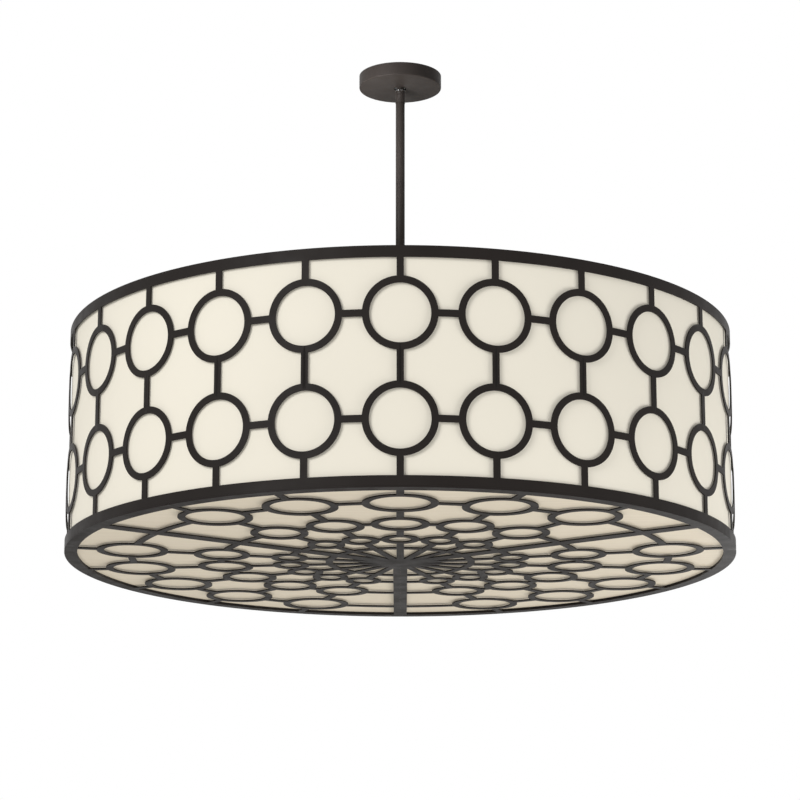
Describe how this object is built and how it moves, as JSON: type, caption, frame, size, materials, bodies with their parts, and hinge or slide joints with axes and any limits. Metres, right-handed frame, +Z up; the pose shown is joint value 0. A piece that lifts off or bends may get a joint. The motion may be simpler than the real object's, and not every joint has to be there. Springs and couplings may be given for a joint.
{
  "type": "drum chandelier",
  "caption": "Drum chandelier: a dark pierced-circle metal drum with cream side diffusers and a beige bottom diffuser, hung on one stem from a round ceiling canopy with a swivel.",
  "frame": {"origin": "centre of the canopy's open back, in the plane of the ceiling", "axes": "+Z up into the ceiling along the stem; the lamp hangs towards -Z; -Y is the side that faces the picture's camera; +X is to its right"},
  "size_m": [1.524, 1.524, 1.18],
  "materials": {
    "bronze_metal": "satin dark bronze paint",
    "zinc_steel": "zinc-plated, semi-matt",
    "brass": "plain turned brass",
    "side_diffuser": "opal cream acrylic sheet, matt",
    "bottom_diffuser": "beige acrylic sheet with a fine brushed grain, matt",
    "nylon": "moulded nylon",
    "ceramic": "glazed white ceramic lamp holder",
    "frosted_glass": "frosted lamp glass"
  },
  "bodies": {
    "ceiling_end": {"hanger_bracket": "zinc_steel", "ball_seat": "zinc_steel", "canopy": "bronze_metal", "canopy_screw_right": "zinc_steel", "canopy_screw_left": "zinc_steel"},
    "swivel": {"swivel_liner": "nylon"},
    "fixture": {"stem_coupling": "bronze_metal", "stem": "bronze_metal", "swivel_ball": "bronze_metal", "spider_hub": "bronze_metal", "hub_nut": "zinc_steel", "spider_arm_1": "bronze_metal", "spider_arm_2": "bronze_metal", "spider_arm_3": "bronze_metal", "spider_arm_4": "bronze_metal", "spider_arm_5": "bronze_metal", "spider_arm_6": "bronze_metal", "top_ring": "bronze_metal", "bottom_ring": "bronze_metal", "side_grille": "bronze_metal", "side_diffuser_front": "side_diffuser", "side_diffuser_back": "side_diffuser", "joint_strip_right": "side_diffuser", "joint_strip_left": "side_diffuser", "diffuser_clip_1": "zinc_steel", "diffuser_clip_2": "zinc_steel", "diffuser_clip_3": "zinc_steel", "diffuser_clip_4": "zinc_steel", "diffuser_clip_5": "zinc_steel", "diffuser_clip_6": "zinc_steel", "bottom_grille_front": "bronze_metal", "bottom_grille_right": "bronze_metal", "bottom_grille_left": "bronze_metal", "hub_plate": "zinc_steel", "cluster_body": "zinc_steel", "cluster_cap": "zinc_steel", "cluster_finial": "brass", "lamp_arm_1": "zinc_steel", "lamp_arm_2": "zinc_steel", "lamp_arm_3": "zinc_steel", "lamp_arm_4": "zinc_steel", "lamp_arm_5": "zinc_steel", "lamp_arm_6": "zinc_steel", "socket_1": "ceramic", "socket_2": "ceramic", "socket_3": "ceramic", "socket_4": "ceramic", "socket_5": "ceramic", "socket_6": "ceramic", "bulb_1": "frosted_glass", "bulb_2": "frosted_glass", "bulb_3": "frosted_glass", "bulb_4": "frosted_glass", "bulb_5": "frosted_glass", "bulb_6": "frosted_glass"},
    "bottom_panel_front": {"bottom_diffuser_front": "bottom_diffuser"},
    "bottom_panel_right": {"bottom_diffuser_right": "bottom_diffuser"},
    "bottom_panel_left": {"bottom_diffuser_left": "bottom_diffuser"}
  },
  "joints": [
    {"name": "swivel_tilt_x", "type": "hinge", "parent": "ceiling_end", "child": "swivel", "pos_m": [0, 0, -0.017], "axis": [1, 0, 0], "range_deg": [-14, 14]},
    {"name": "swivel_tilt_y", "type": "hinge", "parent": "swivel", "child": "fixture", "pos_m": [0, 0, -0.017], "axis": [0, 1, 0], "range_deg": [-14, 14]},
    {"name": "bottom_panel_front_lift", "type": "slide", "parent": "fixture", "child": "bottom_panel_front", "axis": [0, 0, 1], "range_m": [0, 0.12]},
    {"name": "bottom_panel_right_lift", "type": "slide", "parent": "fixture", "child": "bottom_panel_right", "axis": [0, 0, 1], "range_m": [0, 0.12]},
    {"name": "bottom_panel_left_lift", "type": "slide", "parent": "fixture", "child": "bottom_panel_left", "axis": [0, 0, 1], "range_m": [0, 0.12]}
  ]
}
